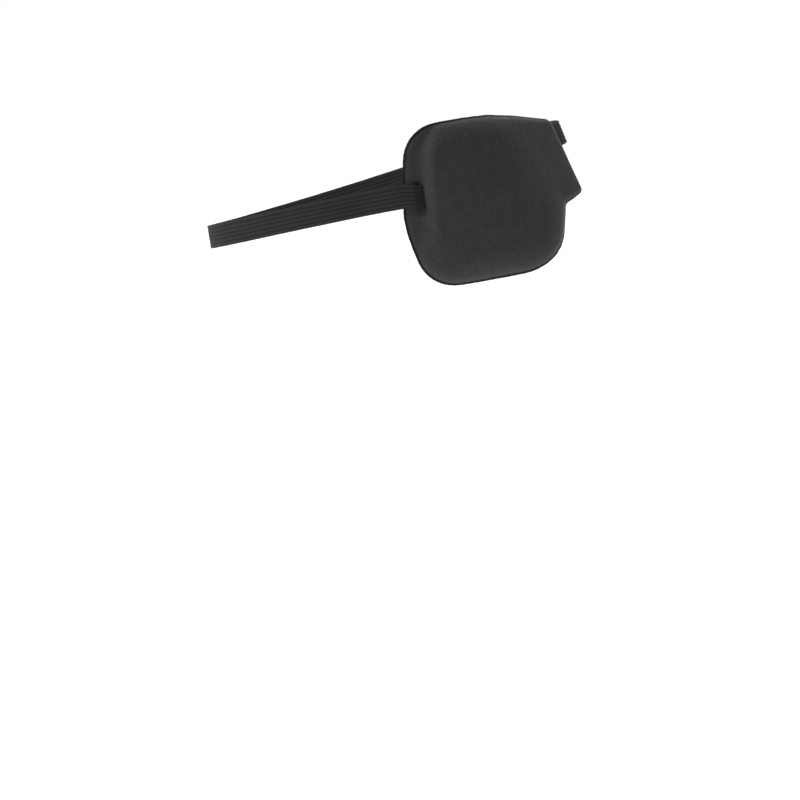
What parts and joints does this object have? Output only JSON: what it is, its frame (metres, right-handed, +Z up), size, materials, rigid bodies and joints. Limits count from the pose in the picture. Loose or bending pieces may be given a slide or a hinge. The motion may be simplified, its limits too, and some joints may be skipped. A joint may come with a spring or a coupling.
{
  "type": "eye patch",
  "caption": "Moulded foam patch for the right eye with a nose flap, on an elastic head strap with an adjusting slider and a ring.",
  "frame": {"origin": "centre of the head loop, at the height where the strap meets the patch at the temple", "axes": "+Z up when worn, the wearer faces -Y, the wearer's left is +X"},
  "size_m": [0.1605, 0.2112, 0.0843],
  "materials": {
    "cover_cloth": "soft matt knit with a faint sheen",
    "foam": "open foam, pressed",
    "lining_cloth": "smooth matt knit",
    "elastic": "ribbed woven elastic",
    "plastic": "satin moulded plastic",
    "thread": "polyester thread"
  },
  "bodies": {
    "patch": {"outer_cover": "cover_cloth", "foam_core": "foam", "inner_lining": "lining_cloth", "temple_stitching": "thread", "nose_stitching": "thread", "long_strap": "elastic", "short_strap": "elastic"},
    "strap_end": {"ring_loop_stitching": "thread"},
    "ring": {"ring": "plastic"},
    "slider": {"slider": "plastic", "slider_loop_stitching": "thread"}
  },
  "joints": [
    {"name": "strap_stretch", "type": "slide", "parent": "patch", "child": "strap_end", "axis": [0, 1, 0], "range_m": [0, 0.045], "stiffness_N_per_m": 110, "deforming": ["long_strap", "short_strap"]},
    {"name": "ring_tilt", "type": "hinge", "parent": "strap_end", "child": "ring", "pos_m": [0.06275, -0.05647, 0.01732], "axis": [-0.0999, 0.1609, 0.9819], "range_deg": [-12, 12], "stiffness_Nm_per_rad": 0.02, "deforming": ["long_strap", "short_strap"]},
    {"name": "slider_travel", "type": "hinge", "parent": "strap_end", "child": "slider", "pos_m": [-0.04872, 0.0022, 0.00079], "axis": [-0.0667, 0.1495, 0.9865], "range_deg": [-6, 12], "deforming": ["long_strap"]}
  ]
}
